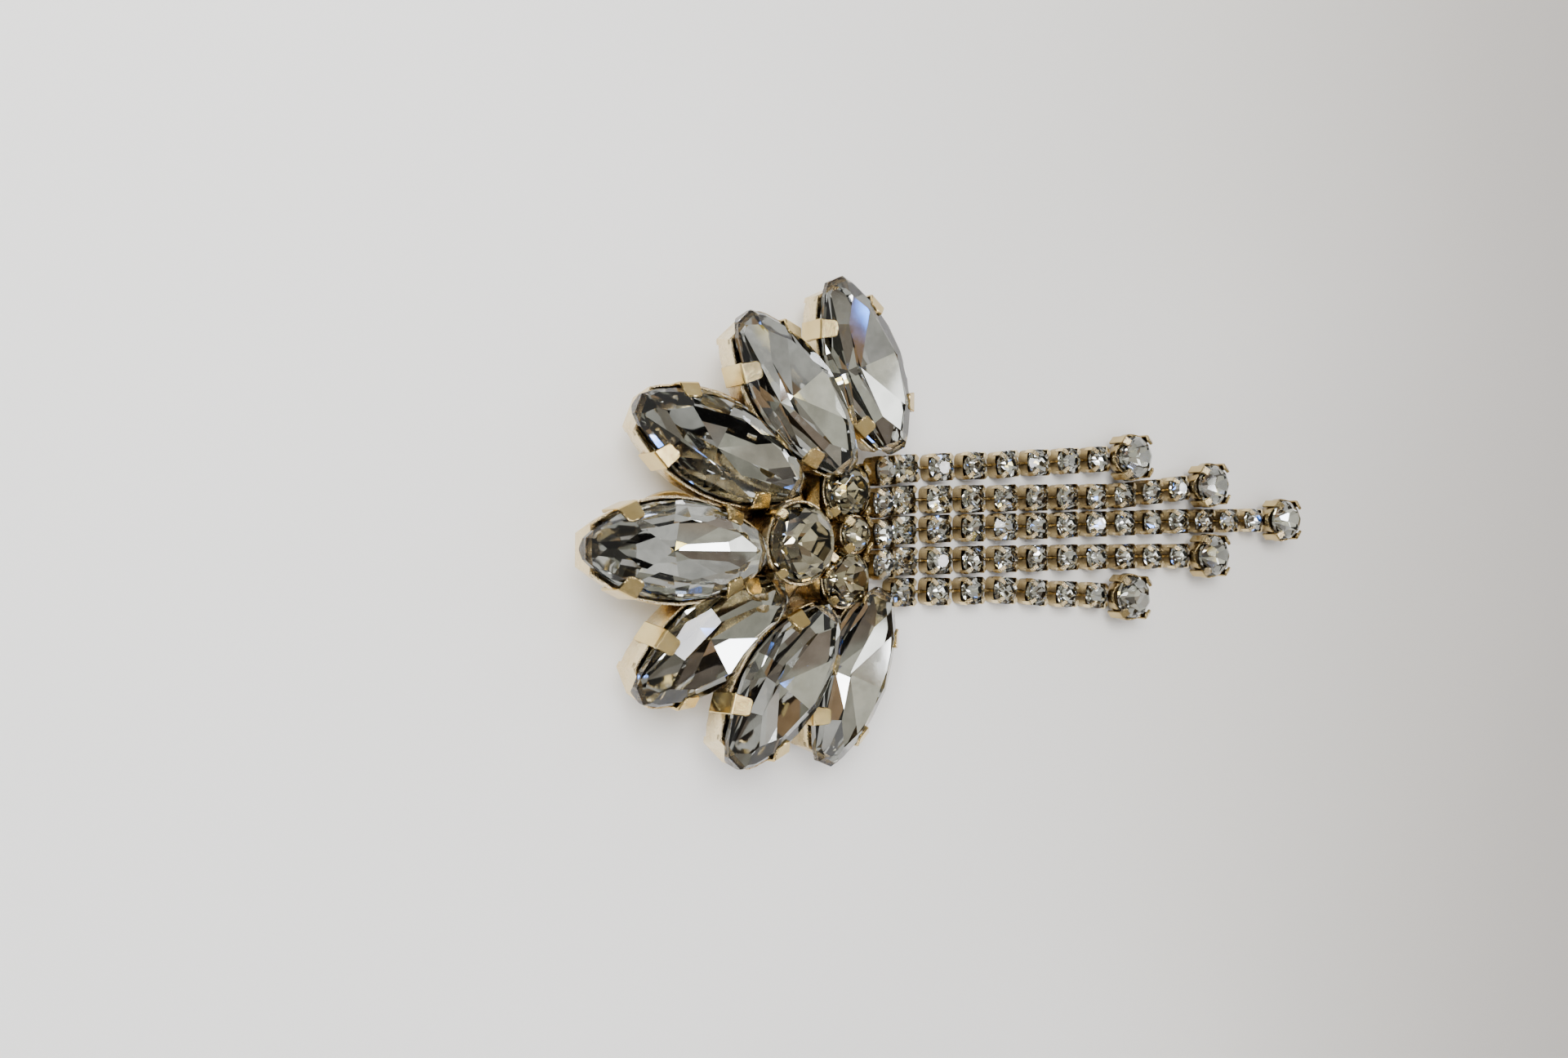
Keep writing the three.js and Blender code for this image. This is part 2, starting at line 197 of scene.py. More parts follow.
above.inputs["From Max"].default_value = math.sin(radians(PATCHED_ABOVE))
room = add_node(sky, "ShaderNodeMix", data_type="RGBA")
join(sky, above.outputs["Result"], room.inputs[0])
join(sky, sky_colour, room.inputs[6])
join(sky, uneven.outputs[0], room.inputs[7])
sky_colour = room.outputs[2]


def sky_zone(under, azimuth, elevation, size, edge, colour):
    """Paints one round patch over the sky; size and edge are in degrees."""
    flat = math.cos(radians(elevation))
    centre = (flat * math.cos(radians(azimuth)), flat * math.sin(radians(azimuth)),
              math.sin(radians(elevation)))
    dot = add_node(sky, "ShaderNodeVectorMath", operation="DOT_PRODUCT")
    join(sky, sky_direction, dot.inputs[0])
    dot.inputs[1].default_value = centre
    rim = add_node(sky, "ShaderNodeMapRange", interpolation_type="SMOOTHSTEP")
    join(sky, dot.outputs["Value"], rim.inputs["Value"])
    rim.inputs["From Min"].default_value = math.cos(radians(size + edge))
    rim.inputs["From Max"].default_value = math.cos(radians(size))
    mix = add_node(sky, "ShaderNodeMix", data_type="RGBA", clamp_result=False)
    join(sky, rim.outputs["Result"], mix.inputs[0])
    join(sky, under, mix.inputs[6])
    mix.inputs[7].default_value = (*colour, 1.0)
    return mix.outputs[2]


# %% [markdown]
# A studio for glass adds cards and windows to this. Brown and charcoal cards stand on the
# right, where they put dark edges into the stones, and the windows are on the left, as the
# pale side of the table is. Each kind is spread evenly over its half of the sky, by turns low
# and high, so their places follow from a count and not from a list.

# %% Cards and windows
brown_card = (0.30, 0.19, 0.10)
charcoal_card = (0.08, 0.075, 0.07)
window_light = (3.0, 3.0, 2.9)
LOW = 40
HIGH = 60
CARD_COUNT = 6
WINDOW_COUNT = 4
LAMP_COUNT = 16
CARD_SIZE = 8
WINDOW_SIZE = 5


def spread(count, middle, width):
    """Bearings spread evenly over an arc of the sky, each with its height above the horizon."""
    return [(middle + width * ((i + 0.5) / count - 0.5), LOW if i % 2 == 0 else HIGH)
            for i in range(count)]


for azimuth, elevation in spread(CARD_COUNT, 0, 180):
    card = brown_card if elevation == LOW else charcoal_card
    sky_colour = sky_zone(sky_colour, azimuth, elevation, CARD_SIZE, 3, card)
for azimuth, elevation in spread(WINDOW_COUNT, 180, 180):
    sky_colour = sky_zone(sky_colour, azimuth, elevation, WINDOW_SIZE, 1, window_light)
print("cards:", spread(CARD_COUNT, 0, 180))
print("windows:", spread(WINDOW_COUNT, 180, 180))

# %% [markdown]
# Glass bends blue light more than red, so a small lamp seen through a stone has a blue side
# and a yellow side. Cycles bends all colours alike. The cheap way to get these flashes is to
# give each small lamp its coloured rims in the sky itself. The lamps hang in an even ring.

# %% Lamps with coloured rims
blue_rim = (0.9, 2.8, 10.0)
yellow_rim = (8.0, 6.4, 1.8)
lamp_core = (26.0, 26.0, 27.0)
RIM_SHIFT = 2.2
LAMP_EDGE = 0.8
for azimuth, elevation in spread(LAMP_COUNT, 180, 360):
    drift = RIM_SHIFT / math.cos(radians(elevation))
    sky_colour = sky_zone(sky_colour, azimuth - drift, elevation, 1.7, LAMP_EDGE, blue_rim)
    sky_colour = sky_zone(sky_colour, azimuth + drift, elevation, 1.4, LAMP_EDGE, yellow_rim)
    sky_colour = sky_zone(sky_colour, azimuth, elevation, 2.0, LAMP_EDGE, lamp_core)
join(sky, sky_colour, sky.nodes["Background"].inputs["Color"])
print("lamps:", LAMP_COUNT)

# %% [markdown]
# A large softbox lights the table and gives the soft shadow. It is hidden from mirror
# reflections and from glass, because its broad white face would fill whole facets. The stones
# and the gold reflect only the painted sky, the table and each other.

# %% Soft key light
key_light = bpy.data.lights.new("softbox", "AREA")
key_light.shape = "RECTANGLE"
key_light.size = 0.30
key_light.size_y = 0.22
key_light.energy = 2.7
key_light.color = (1.0, 0.985, 0.96)
softbox = bpy.data.objects.new("softbox", key_light)
softbox.visible_glossy = False
softbox.visible_transmission = False
softbox.matrix_world = Matrix.Translation((-0.20, 0.16, 0.36)) @ Matrix.Rotation(
    radians(-28), 4, "Y") @ Matrix.Rotation(radians(-22), 4, "X")
scene.collection.objects.link(softbox)

# %% [markdown]
# The earring lies on a pale, slightly glossy table top. A plain subdivided sheet is enough,
# with a faint cloudy change of tone, because a perfectly even floor looks computed. Over it,
# painted shade makes the colour darker and warmer from left to right, as the light falls off.

# %% Floor
def make_floor():
    bm = bmesh.new()
    bmesh.ops.create_grid(bm, x_segments=4, y_segments=4, size=1.2)
    mesh = bpy.data.meshes.new("table_top")
    bm.to_mesh(mesh)
    bm.free()
    floor = bpy.data.objects.new("table_top", mesh)
    scene.collection.objects.link(floor)
    material, tree, shader, coords = new_material("pale_table")
    cloud = add_node(tree, "ShaderNodeTexNoise", Scale=9.0, Detail=2.0)
    join(tree, coords, cloud.inputs["Vector"])
    across = add_node(tree, "ShaderNodeSeparateXYZ")
    join(tree, coords, across.inputs[0])
    # Painted shade: the floor colour turns darker and warmer along +X, standing for the light
    # falling off.
    painted_falloff = add_node(tree, "ShaderNodeMapRange", interpolation_type="SMOOTHSTEP")
    join(tree, across.outputs["X"], painted_falloff.inputs["Value"])
    painted_falloff.inputs["From Min"].default_value = -0.07
    painted_falloff.inputs["From Max"].default_value = 0.12
    tone = add_node(tree, "ShaderNodeMix", data_type="RGBA", blend_type="MULTIPLY")
    tone.inputs[0].default_value = 1.0
    join(tree, colour_ramp(tree, cloud.outputs["Fac"], [
        (0.30, (0.93, 0.93, 0.93)),
        (0.70, (1.0, 1.0, 1.0)),
    ]), tone.inputs[6])
    join(tree, colour_ramp(tree, painted_falloff.outputs["Result"], [
        (0.0, (0.96, 0.96, 0.95)),
        (0.55, (0.72, 0.705, 0.67)),
        (1.0, (0.50, 0.475, 0.445)),
    ]), tone.inputs[7])
    join(tree, tone.outputs[2], shader.inputs["Base Color"])
    shader.inputs["Roughness"].default_value = 0.32
    mesh.materials.append(material)
    floor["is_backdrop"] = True


make_floor()

# %% [markdown]
# The stones are machine-cut lead crystal. It is clear with a breath of grey green, and bends
# light more than window glass. Polishing leaves the faintest streaks, so the roughness
# changes a little from place to place instead of being exactly nothing.

# %% Crystal
def make_crystal():
    material, tree, shader, coords = new_material("lead_crystal")
    haze = add_node(tree, "ShaderNodeTexNoise", Scale=420.0, Detail=3.0)
    join(tree, coords, haze.inputs["Vector"])
    join(tree, colour_ramp(tree, haze.outputs["Fac"], [
        (0.35, (0.955, 0.972, 0.968)),
        (0.65, (0.985, 0.990, 0.990)),
    ]), shader.inputs["Base Color"])
    rough = add_node(tree, "ShaderNodeMapRange")
    join(tree, haze.outputs["Fac"], rough.inputs["Value"])
    rough.inputs["To Min"].default_value = 0.0
    rough.inputs["To Max"].default_value = 0.02
    join(tree, rough.outputs["Result"], shader.inputs["Roughness"])
    shader.inputs["Transmission Weight"].default_value = 1.0
    shader.inputs["IOR"].default_value = 1.56
    return material


crystal = make_crystal()

# %% [markdown]
# The back of such a stone is silvered, like a mirror. The silver is painted on the lower
# facets, so it gets its own material on those faces of the same mesh. Small blotches in the
# silver keep the reflections from being perfect. The round stones of the hub are backed more
# thinly, and the gold of their cups shows through, so their backing is warmer and darker.

# %% Silvered back
def make_foil(name, dim, bright):
    material, tree, shader, coords = new_material(name)
    blotch = add_node(tree, "ShaderNodeTexNoise", Scale=650.0, Detail=2.0)
    join(tree, coords, blotch.inputs["Vector"])
    join(tree, colour_ramp(tree, blotch.outputs["Fac"], [
        (0.30, dim),
        (0.60, bright),
    ]), shader.inputs["Base Color"])
    shader.inputs["Metallic"].default_value = 1.0
    rough = add_node(tree, "ShaderNodeMapRange")
    join(tree, blotch.outputs["Fac"], rough.inputs["Value"])
    rough.inputs["To Min"].default_value = 0.01
    rough.inputs["To Max"].default_value = 0.06
    join(tree, rough.outputs["Result"], shader.inputs["Roughness"])
    return material


foil = make_foil("silvered_back", (0.70, 0.71, 0.69), (0.88, 0.89, 0.87))
warm_foil = make_foil("golden_back", (0.44, 0.39, 0.26), (0.70, 0.65, 0.50))
cut_looks = (crystal, foil, warm_foil)

# %% [markdown]
# The metal is brass with pale champagne plating. Plating is never even: wide clouds where it
# is thinner and warmer, fine grain from the stamping, and small dents that break the shine.
# Shade is painted into the closed-in spots: an ambient occlusion node, which tells how closed
# in a spot is, mixes in a dark brown shade colour there. One recipe makes all three metals:
# the plating; the tabs, painted darker and more saturated as painted shade; and the chain,
# painted darker and browner than its own claws, as shaded metal.

# %% Champagne plating
def make_plating(name, thin, full, shade_colour, roughness):
    material, tree, shader, coords = new_material(name)
    # Painted shade: where the occlusion node finds a spot closed in, the dark shade colour takes
    # the place of the plating colour.
    closed_in = add_node(tree, "ShaderNodeAmbientOcclusion", samples=4)
    closed_in.inputs["Distance"].default_value = 0.0016
    unshaded_share = add_node(tree, "ShaderNodeMapRange")
    join(tree, closed_in.outputs["AO"], unshaded_share.inputs["Value"])
    unshaded_share.inputs["From Min"].default_value = 0.25
    unshaded_share.inputs["From Max"].default_value = 0.80
    painted_shade_mix = add_node(tree, "ShaderNodeMix", data_type="RGBA")
    cloud = add_node(tree, "ShaderNodeTexNoise", Scale=240.0, Detail=4.0, Roughness=0.6)
    join(tree, coords, cloud.inputs["Vector"])
    join(tree, colour_ramp(tree, cloud.outputs["Fac"], [
        (0.30, thin),
        (0.62, full),
    ]), painted_shade_mix.inputs[7])
    painted_shade_mix.inputs[6].default_value = (*shade_colour, 1.0)
    join(tree, unshaded_share.outputs["Result"], painted_shade_mix.inputs[0])
    join(tree, painted_shade_mix.outputs[2], shader.inputs["Base Color"])
    shader.inputs["Metallic"].default_value = 1.0
    grain = add_node(tree, "ShaderNodeTexNoise", Scale=1900.0, Detail=3.0)
    join(tree, coords, grain.inputs["Vector"])
    rough = add_node(tree, "ShaderNodeMapRange")
    join(tree, grain.outputs["Fac"], rough.inputs["Value"])
    rough.inputs["To Min"].default_value = roughness[0]
    rough.inputs["To Max"].default_value = roughness[1]
    join(tree, rough.outputs["Result"], shader.inputs["Roughness"])
    dents = add_node(tree, "ShaderNodeBump", Strength=0.35, Distance=0.00003)
    join(tree, grain.outputs["Fac"], dents.inputs["Height"])
    join(tree, dents.outputs["Normal"], shader.inputs["Normal"])
    return material


champagne = make_plating("champagne_plating", (0.74, 0.57, 0.29), (0.88, 0.74, 0.46),
                         (0.26, 0.165, 0.065), (0.18, 0.36))
# The tabs are the same plating, painted darker and more saturated: painted shade for the darker
# surroundings they reflect.
shaded_tab_plating = make_plating("tab_plating_painted_shade", (0.62, 0.45, 0.18), (0.80, 0.63, 0.31),
                         (0.22, 0.14, 0.05), (0.12, 0.28))
# The chain is painted darker and browner than the plating: painted shade on its cup walls, while
# its claws keep the pale plating.
chain_brass = make_plating("chain_brass", (0.42, 0.31, 0.145), (0.66, 0.52, 0.27),
                           (0.11, 0.072, 0.030), (0.14, 0.30))
print("materials:", [m.name for m in bpy.data.materials])

# %% [markdown]
# Pieces are drawn about their own middle in millimetres and then stamped where they belong.
# The fan has a frame of its own, tilted 7 degrees on the closed clip below it. The same few
# numbers place the plain solids, so every dressed piece falls on its solid.

# %% Where things are
TABLE_SHIFT = Matrix.Translation((-20.9706, -0.608, 0.0))
HUB_RISE = 5.1
FAN_TILT = 7.0
FAN = Matrix.Translation((-0.3, 0.0, HUB_RISE)) @ Matrix.Rotation(radians(FAN_TILT), 4, "Y")
HUB = Vector((-2.4, -1.05, 0.0))
HUB_STONE = 5.9
BOAT_DEPTH = 2.95


def place(x, y, z, heading=0.0, slope=0.0, roll=0.0):
    """Moves and turns a shape: heading about Z, then slope, then roll about its length."""
    turn = Matrix.Rotation(radians(heading), 4, "Z") @ Matrix.Rotation(
        -radians(slope), 4, "Y") @ Matrix.Rotation(radians(roll), 4, "X")
    return Matrix.Translation((x, y, z)) @ turn


def stamp(target, pattern, matrix):
    """Adds a copy of a pattern mesh to a bmesh, moved by the matrix."""
    copy = pattern.copy()
    copy.transform(matrix)
    target.from_mesh(copy)
    bpy.data.meshes.remove(copy)


def as_pattern(bm, name):
    """Keeps a finished bmesh as a mesh that can be stamped many times."""
    bmesh.ops.remove_doubles(bm, verts=bm.verts, dist=1e-4)
    bmesh.ops.recalc_face_normals(bm, faces=bm.faces)
    pattern = bpy.data.meshes.new(name)
    bm.to_mesh(pattern)
    bm.free()
    return pattern


def finish_piece(name, bm, looks, slot_name, *solids):
    """Turns a bmesh in millimetres into a piece in metres that stands for its solids."""
    bmesh.ops.transform(bm, matrix=Matrix.Scale(0.001, 4) @ TABLE_SHIFT, verts=bm.verts)
    mesh = bpy.data.meshes.new(name)
    bm.to_mesh(mesh)
    bm.free()
    mesh.set_sharp_from_angle(angle=radians(32))
    for look in looks:
        mesh.materials.append(look)
    for face in mesh.polygons:
        face.use_smooth = looks[face.material_index] not in cut_looks
    piece = bpy.data.objects.new(name, mesh)
    scene.collection.objects.link(piece)
    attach(piece, "root")
    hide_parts(*solids)
    print(name, "has", len(mesh.polygons), "faces")


# %% [markdown]
# A navette is a boat-shaped stone: two equal arcs that meet in two tips. One arc is a tip
# point spun about the arc's centre, and half a turn of the whole thing gives the other.

# %% Outline of a navette
def navette_outline(bm, length, width, z, steps=8):
    """Draws the closed outline at height z and gives back its edges."""
    bow = (length * length + width * width) / (4 * width)
    half = math.asin(length / 2 / bow)
    tip = bm.verts.new((length / 2, 0.0, z))
    centre = Vector((0.0, width / 2 - bow, z))
    bmesh.ops.spin(bm, geom=[tip], cent=centre, axis=(0, 0, 1), angle=2 * half, steps=steps,
                   use_merge=False)
    side = [v for v in bm.verts if abs(v.co.z - z) < 1e-6]
    edges = [e for e in bm.edges if abs(e.verts[0].co.z - z) < 1e-6]
    other = bmesh.ops.duplicate(bm, geom=side + edges)["geom"]
    turned = [v for v in other if isinstance(v, bmesh.types.BMVert)]
    bmesh.ops.rotate(bm, cent=(0, 0, z), matrix=Matrix.Rotation(math.pi, 3, "Z"), verts=turned)
    bmesh.ops.remove_doubles(bm, verts=bm.verts, dist=1e-4)
    return [e for e in bm.edges if abs(e.verts[0].co.z - z) < 1e-6
            and abs(e.verts[1].co.z - z) < 1e-6]


# %% [markdown]
# A cutter does not build a stone from corners. They start with a blank and grind flat facets,
# one plane at a time. The bisect operator does just that: it cuts the mesh with a plane and
# throws away what is outside, and filling the hole leaves the new facet. Cutting this way
# makes every facet truly flat, which matters, because a bent facet smears its reflection.

# %% Grinding a facet
def grind(bm, through, facing, kind=0):
    """Grinds away all that lies beyond the plane, and closes the cut with one facet."""
    everything = bm.verts[:] + bm.edges[:] + bm.faces[:]
    bmesh.ops.bisect_plane(bm, geom=everything, dist=1e-5, plane_co=through,
                           plane_no=facing, clear_outer=True)
    rim = [e for e in bm.edges if e.is_boundary]
    if len(rim) < 3:
        return
    for face in bmesh.ops.holes_fill(bm, edges=rim, sides=0)["faces"]:
        face.material_index = kind


def blank_from(bm, outline, depth):
    """Fills an outline and pulls it up into a block, the blank that the cutter starts with."""
    bottom = bmesh.ops.contextual_create(bm, geom=outline)["faces"]
    block = bmesh.ops.extrude_face_region(bm, geom=bottom)["geom"]
    top = [v for v in block if isinstance(v, bmesh.types.BMVert)]
    bmesh.ops.translate(bm, verts=top, vec=(0, 0, depth))
    bmesh.ops.recalc_face_normals(bm, faces=bm.faces)


# %% [markdown]
# The big stones have a flat table on top, eight long crown facets around it, and a ring of
# steeper ones along the girdle. Below, long facets run to one point, the culet. Light that
# comes in through the table bounces from those to and fro, and so each shows another patch
# of the room. The blank is longer than the stone, and its tips are ground blunt: that makes
# the boat fuller near its ends than two plain arcs would be, as the real stones are.

# %% Navette stones
NAVETTE = {"length": 15.0, "width": 7.1, "girdle": 0.5, "crown": 1.4, "pavilion": 2.2,
           "blank": 16.4}
CROWN_LEAN = 36
GIRDLE_LEAN = 56
TIP_LEAN = 48
LOWER_DIP = 38
LOWER_BAND = 0.55


def outline_normals(length, width, angles):
    """For each angle from the side, a point on the outline and the way it faces."""
    bow = (length * length + width * width) / (4 * width)
    spots = []
    for side in (1, -1):
        for angle in angles:
            facing = Vector((math.sin(angle), math.cos(angle), 0.0)) * side
            point = facing * bow - Vector((0.0, (bow - width / 2) * side, 0.0))
            spots.append((point, facing))
    return spots


def tilted(facing, lean):
    """A facet's facing: lean degrees from straight up, towards the outside."""
    return facing * math.sin(radians(lean)) + Vector((0, 0, math.cos(radians(lean))))


def cut_navette():
    size = NAVETTE
    half_girdle = size["girdle"] / 2
    bottom = -half_girdle - size["pavilion"]
    bm = bmesh.new()
    outline = navette_outline(bm, size["blank"], size["width"], bottom)
    blank_from(bm, outline, size["girdle"] + size["pavilion"] + size["crown"])
    bow = (size["blank"] ** 2 + size["width"] ** 2) / (4 * size["width"])
    half = math.asin(size["blank"] / 2 / bow)
    fine = [half * (2 * i + 1 - 8) / 8 for i in range(8)]
    chord = bow * (1 - math.cos(half / 8))
    for point, facing in outline_normals(size["blank"], size["width"], fine):
        edge = point - facing * chord
        low = radians(LOWER_DIP)
        grind(bm, edge + Vector((0, 0, half_girdle)), tilted(facing, GIRDLE_LEAN))
        grind(bm, edge - Vector((0, 0, half_girdle)),
              facing * math.cos(low) - Vector((0, 0, math.sin(low))), 1)
    mains = [half * s for s in (-0.74, -0.26, 0.26, 0.74)]
    culet = Vector((0.0, 0.0, bottom))
    for point, facing in outline_normals(size["blank"], size["width"], mains):
        shoulder = point - facing * 0.30 + Vector((0, 0, half_girdle + 0.40))
        grind(bm, shoulder, tilted(facing, CROWN_LEAN))
        reach = point.dot(facing) - LOWER_BAND
        rise = -half_girdle - LOWER_BAND - culet.z
        slope = math.atan2(rise, reach)
        grind(bm, culet, facing * math.sin(slope) - Vector((0, 0, math.cos(slope))), 1)
    for side in (1, -1):
        tip = Vector((side * (size["length"] / 2 - 0.15), 0, 0))
        grind(bm, tip, Vector((side, 0, 0)))
        grind(bm, tip + Vector((0, 0, half_girdle)), tilted(Vector((side, 0, 0)), TIP_LEAN))
    return as_pattern(bm, "navette_cut")


navette_pattern = cut_navette()
print("a navette has", len(navette_pattern.polygons), "facets")

# %% [markdown]
# Each stone of the fan has its own row: the bearing of its inner tip seen from the hub, how
# far out that tip is, where the stone points, and how it is raised, sloped and rolled. The
# rows are those of the plain solids. They were fitted by a program to points read off the
# photograph, which is why they are not round numbers, and no two of the stones lie alike.

# %% The fan of stones
OUT = 0.5
HUB_RADIUS = HUB_STONE / 2 + OUT
fan_rows = [
    (-21.2, 0.99, 245.7, -0.18, -1.5, -5.5),
    (-52.0, 0.44, 225.3, 0.79, 5.0, -0.2),
    (-85.2, 0.03, 207.8, -0.42, 0.7, -10.8),
    (194.7, -0.131, 178.6, 0.3, -2.6, 2.0),
    (77.6, 0.116, 157.5, -0.05, -5.3, -0.6),
    (47.8, 0.576, 132.3, 0.8, -1.7, -0.3),
    (33.8, 1.36, 115.9, 0.1, -1.1, -5.1),
]


def fan_place(bearing, ring, heading, raise_share, slope, roll):
    reach = HUB_RADIUS + ring * NAVETTE["width"]
    away = Vector((math.cos(radians(bearing)), math.sin(radians(bearing)), 0)) * reach
    along = Vector((math.cos(radians(heading)), math.sin(radians(heading)), 0))
    middle = HUB + away + along * NAVETTE["length"] / 2
    return place(middle.x, middle.y, raise_share * NAVETTE["crown"], heading, slope, roll)


for number, row in enumerate(fan_rows, 1):
    bm = bmesh.new()
    stamp(bm, navette_pattern, FAN @ fan_place(*row))
    finish_piece(f"cut_navette_{number}", bm, [crystal, foil], "crystal",
                 f"navette_stone_{number}")

# %% [markdown]
# The round stones are chatons: a round blank, a table, eight facets on the crown, small ones
# along the girdle, and eight that meet in the culet. The same recipe serves a 6 mm hub stone
# and a chain stone of 2.5 mm; the small one does without the girdle ring, since it is made
# 51 times and nobody would see it.

# %% Round stones
def cut_chaton(diameter, sides=16, girdle=0.3, crown=0.22, pavilion=0.36, fine=True, top=38):
    bm = bmesh.new()
    half_girdle = girdle / 2
    bottom = -half_girdle - pavilion * diameter
    ring = bmesh.ops.create_circle(bm, cap_ends=False, segments=sides, radius=diameter / 2,
                                   matrix=Matrix.Translation((0, 0, bottom)))["verts"]
    edges = list({e for v in ring for e in v.link_edges})
    blank_from(bm, edges, girdle + (crown + pavilion) * diameter)
    flat = diameter / 2 * math.cos(math.pi / sides)
    if fine:
        for i in range(sides):
            turn = 2 * math.pi * (i + 0.5) / sides
            facing = Vector((math.cos(turn), math.sin(turn), 0.0))
            for sign, tilt in ((1, 52), (-1, 55)):
                cut = facing * math.sin(radians(tilt)) + Vector(
                    (0, 0, sign * math.cos(radians(tilt))))
                grind(bm, facing * flat + Vector((0, 0, sign * half_girdle)), cut, sign < 0)
    for i in range(8):
        turn = 2 * math.pi * i / 8
        facing = Vector((math.cos(turn), math.sin(turn), 0.0))
        step = 0.07 * diameter if fine else 0.0
        shoulder = facing * (flat - step * 0.6) + Vector((0, 0, half_girdle + step))
        grind(bm, shoulder, tilted(facing, top))
        turn += math.pi / 8
        facing = Vector((math.cos(turn), math.sin(turn), 0.0))
        slope = math.atan2(pavilion * diameter - step, flat - step * 0.5)
        grind(bm, Vector((0, 0, bottom)),
              facing * math.sin(slope) - Vector((0, 0, math.cos(slope))), 1)
    return as_pattern(bm, "chaton_cut")


hub_rows = [
    ("hub_stone", HUB_STONE, 0.0, 0.0, 0.29, 8),
    ("shoulder_stone_1", 4.4, 0.97, -0.485, 0.0, 20),
    ("shoulder_stone_2", 4.4, 1.0, 0.695, 0.0, 5),
    ("root_stone", 2.6, 1.06, 0.105, 0.1, 15),
]


def hub_place(along, across, raise_share, turn=0.0):
    return place(HUB.x + along * HUB_STONE, HUB.y + across * HUB_STONE,
                 raise_share * HUB_STONE, turn)


for name, diameter, along, across, raise_share, turn in hub_rows:
    bm = bmesh.new()
    stamp(bm, cut_chaton(diameter), FAN @ hub_place(along, across, raise_share, turn))
    finish_piece(f"cut_{name}", bm, [crystal, warm_foil], "crystal", name)

# %% [markdown]
# The settings are stamped from thin sheet: a shallow boat with a flat foot, straight walls
# and an open top, in which the stone sits. Raising a wall from a loop of edges works like
# raising sheet metal: extrude the loop, move it up, make it wider, and go on. The last steps
# turn in over the rim and down the inside, so the wall gets its real thickness.

# %% Raising a wall
def raise_wall(bm, loop, moves):
    """Extrudes a closed loop of edges again and again; a move is z and the scale in X and Y."""
    for z, wide, deep in moves:
        geom = bmesh.ops.extrude_edge_only(bm, edges=loop)["geom"]
        verts = [v for v in geom if isinstance(v, bmesh.types.BMVert)]
        loop = [e for e in geom if isinstance(e, bmesh.types.BMEdge)]
        loop = [e for e in loop if e.verts[0] in verts and e.verts[1] in verts]
        bmesh.ops.scale(bm, verts=verts, vec=(wide, deep, 1))
        bmesh.ops.translate(bm, verts=verts, vec=(0, 0, z - verts[0].co.z))
    return loop


def edges_at(bm, z):
    return [e for e in bm.edges if abs(e.verts[0].co.z - z) < 1e-4
            and abs(e.verts[1].co.z - z) < 1e-4]


def soften(bm, edges, offset, segments=2):
    bmesh.ops.bevel(bm, geom=edges, offset=offset, segments=segments, profile=0.5,
                    affect="EDGES", material=-1, clamp_overlap=True)


# %% [markdown]
# The boat of a navette is a little shorter than its stone, so that the tips of the glass
# stand free. Its ends are cut with the same plane tool as the facets, and a small wall, lower
# than the rim, closes each one, because an open end would show the hollow under the glass.

# %% Navette boats
WALL = 0.25
RIM = 0.38
BOAT_END = 6.65
FOOT_SHARE = 0.92
BOAT_WAIST = -0.80
BOAT_RIM = -0.34


def navette_boat(depth):
    bm = bmesh.new()
    length = NAVETTE["blank"] + 2 * RIM
    width = NAVETTE["width"] + 2 * RIM
    foot = FOOT_SHARE
    outline = navette_outline(bm, length * foot, width * foot, -depth, steps=12)
    bmesh.ops.contextual_create(bm, geom=outline)
    thin = ((length - 2 * WALL) / length, (width - 2 * WALL) / width)
    last = raise_wall(bm, outline, [
        (BOAT_WAIST, 1 / foot, 1 / foot),
        (BOAT_RIM, 1, 1),
        (BOAT_RIM, *thin),
        (BOAT_WAIST, 1, 1),
        (-depth + WALL, foot, foot),
    ])
    bmesh.ops.contextual_create(bm, geom=last)
    bmesh.ops.recalc_face_normals(bm, faces=bm.faces)
    soften(bm, edges_at(bm, -depth), 0.40, 3)
    soften(bm, edges_at(bm, BOAT_RIM), 0.07, 2)
    for side in (1, -1):
        grind(bm, Vector((side * BOAT_END, 0, 0)), Vector((side, 0, 0)))
    for face in bm.faces:
        face.smooth = True
    return bm


def boat_end(depth):
    """The small wall that closes the boat under the tip of the glass."""
    bm = bmesh.new()
    length = NAVETTE["blank"] + 2 * RIM
    width = NAVETTE["width"] + 2 * RIM
    foot = FOOT_SHARE
    outline = navette_outline(bm, length * foot, width * foot, -depth, steps=12)
    bmesh.ops.contextual_create(bm, geom=outline)
    last = raise_wall(bm, outline, [(BOAT_WAIST, 1 / foot, 1 / foot), (-0.50, 1, 1)])
    bmesh.ops.contextual_create(bm, geom=last)
    bmesh.ops.recalc_face_normals(bm, faces=bm.faces)
    grind(bm, Vector((BOAT_END + 0.04, 0, 0)), Vector((1, 0, 0)))
    grind(bm, Vector((BOAT_END - 0.30, 0, 0)), Vector((-1, 0, 0)))
    return as_pattern(bm, "boat_end")


# %% [markdown]
# A prong is a tab of the same sheet. It runs up the outside of the wall and is folded over
# the edge of the stone with a burnisher. A box is the strip, spinning its top face about the
# fold bends it, and one more extrude lays the end on the crown. Bevels round the corners.

